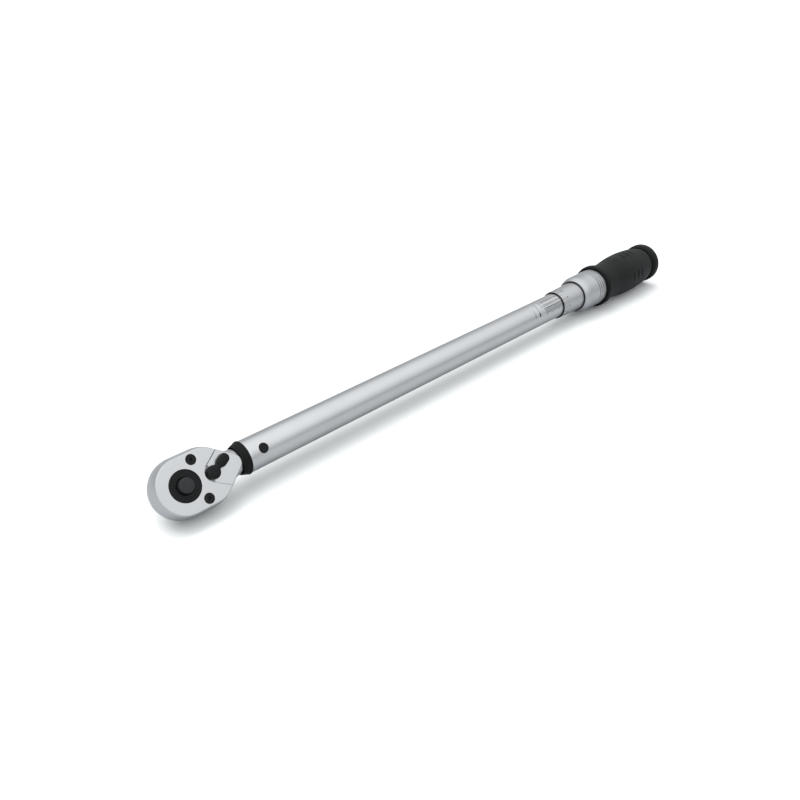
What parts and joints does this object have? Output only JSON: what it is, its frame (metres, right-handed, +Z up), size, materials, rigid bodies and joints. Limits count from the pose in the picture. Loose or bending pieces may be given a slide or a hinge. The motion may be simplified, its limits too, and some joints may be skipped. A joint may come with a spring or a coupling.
{
  "type": "torque wrench",
  "caption": "Click-type torque wrench with a reversible ratchet head and square drive, a micrometer thimble, a locking collar and a rubber grip.",
  "frame": {"origin": "on the tool's axis, where the square drive's axis crosses it", "axes": "+X along the tool from the drive to the grip, +Z up with the wrench lying on a bench, its button face leaning 52.8 degrees from the vertical towards -Y"},
  "size_m": [0.6333, 0.0492, 0.0451],
  "materials": {
    "satin_chrome": "satin chrome plate",
    "black_oxide": "black oxide",
    "black_plastic": "matte",
    "machined_steel": "turned",
    "spring_steel": "oiled",
    "bearing_balls": "polished",
    "brass": "turned",
    "aluminium": "drawn",
    "black_rubber": "matte moulded"
  },
  "bodies": {
    "tube_body": {"tube": "satin_chrome", "nose_ring": "black_plastic", "pivot_pin": "black_oxide", "screw_nut": "brass", "main_spring": "spring_steel"},
    "head": {"ratchet_head": "satin_chrome", "cover_plate": "satin_chrome", "cover_screws": "black_oxide"},
    "drive": {"drive_gear": "black_oxide", "button_spring": "spring_steel"},
    "button": {"release_button": "black_oxide", "release_rod": "machined_steel"},
    "socket_ball": {"detent_ball": "bearing_balls"},
    "lever": {"reversing_lever": "black_oxide", "lever_clip": "black_oxide", "pawl_plunger": "machined_steel", "pawl_spring": "spring_steel"},
    "pawl": {"pawl": "machined_steel"},
    "carriage": {"spring_carriage": "machined_steel"},
    "block": {"tilt_block": "machined_steel"},
    "adjuster": {"spring_seat": "machined_steel", "thrust_ball": "bearing_balls"},
    "handle": {"adjusting_screw": "machined_steel", "thimble": "satin_chrome", "stop_ring": "black_oxide", "lock_spring": "spring_steel", "spring_washer": "machined_steel", "grip_core": "aluminium", "screw_plug": "machined_steel", "lock_nut": "black_oxide", "grip_ring": "black_plastic", "rubber_grip": "black_rubber", "end_cap": "black_plastic"},
    "left_ball": {"lock_ball_left": "bearing_balls"},
    "right_ball": {"lock_ball_right": "bearing_balls"},
    "collar": {"lock_collar": "satin_chrome"}
  },
  "joints": [
    {"name": "head_click", "type": "hinge", "parent": "tube_body", "child": "head", "pos_m": [0.0632, 0, 0], "axis": [0, -0.7965, 0.6046], "range_deg": [0, 2.5], "stiffness_Nm_per_rad": 60, "springref_deg": -5.73},
    {"name": "carriage_slide", "type": "slide", "parent": "tube_body", "child": "carriage", "axis": [1, 0, 0], "range_m": [0, 0.0015]},
    {"name": "block_tilt", "type": "hinge", "parent": "carriage", "child": "block", "pos_m": [0.13325, 0, 0], "axis": [0, -0.7965, 0.6046], "range_deg": [-20, 0]},
    {"name": "drive_spin", "type": "hinge", "parent": "head", "child": "drive", "pos_m": [0, 0, 0], "axis": [0, -0.7965, 0.6046], "continuous": true},
    {"name": "button_press", "type": "slide", "parent": "drive", "child": "button", "axis": [0, 0.7965, -0.6046], "range_m": [0, 0.003], "stiffness_N_per_m": 500, "springref_m": -0.003, "deforming": ["button_spring"]},
    {"name": "socket_ball_slide", "type": "slide", "parent": "drive", "child": "socket_ball", "axis": [1, 0, 0], "range_m": [0, 0.0009]},
    {"name": "lever_swing", "type": "hinge", "parent": "head", "child": "lever", "pos_m": [0.0219, 0, 0], "axis": [0, -0.7965, 0.6046], "range_deg": [-56, 0]},
    {"name": "pawl_shift", "type": "hinge", "parent": "head", "child": "pawl", "pos_m": [0, 0, 0], "axis": [0, -0.7965, 0.6046], "range_deg": [0, 16.01]},
    {"name": "setting_slide", "type": "slide", "parent": "tube_body", "child": "adjuster", "axis": [-1, 0, 0], "range_m": [0, 0.028], "deforming": ["main_spring"]},
    {"name": "handle_turn", "type": "hinge", "parent": "adjuster", "child": "handle", "pos_m": [0.35, 0, 0], "axis": [-1, 0, 0], "range_deg": [0, 5041]},
    {"name": "collar_pull", "type": "slide", "parent": "handle", "child": "collar", "axis": [1, 0, 0], "range_m": [0, 0.004], "stiffness_N_per_m": 800, "springref_m": -0.005, "deforming": ["lock_spring"]},
    {"name": "left_ball_slide", "type": "slide", "parent": "handle", "child": "left_ball", "axis": [0, 0.6046, 0.7965], "range_m": [0, 0.0005]},
    {"name": "right_ball_slide", "type": "slide", "parent": "handle", "child": "right_ball", "axis": [0, -0.6046, -0.7965], "range_m": [0, 0.0005]}
  ],
  "couplings": [
    {"joint": "carriage_slide", "follows": "head_click", "m_per_rad": 0.0343},
    {"joint": "block_tilt", "follows": "head_click", "ratio": -7.9},
    {"joint": "socket_ball_slide", "follows": "button_press", "ratio": 0.3},
    {"joint": "pawl_shift", "follows": "lever_swing", "ratio": -0.28571},
    {"joint": "handle_turn", "follows": "setting_slide", "rad_per_m": 3141.6},
    {"joint": "left_ball_slide", "follows": "collar_pull", "ratio": 0.125},
    {"joint": "right_ball_slide", "follows": "collar_pull", "ratio": 0.125}
  ]
}
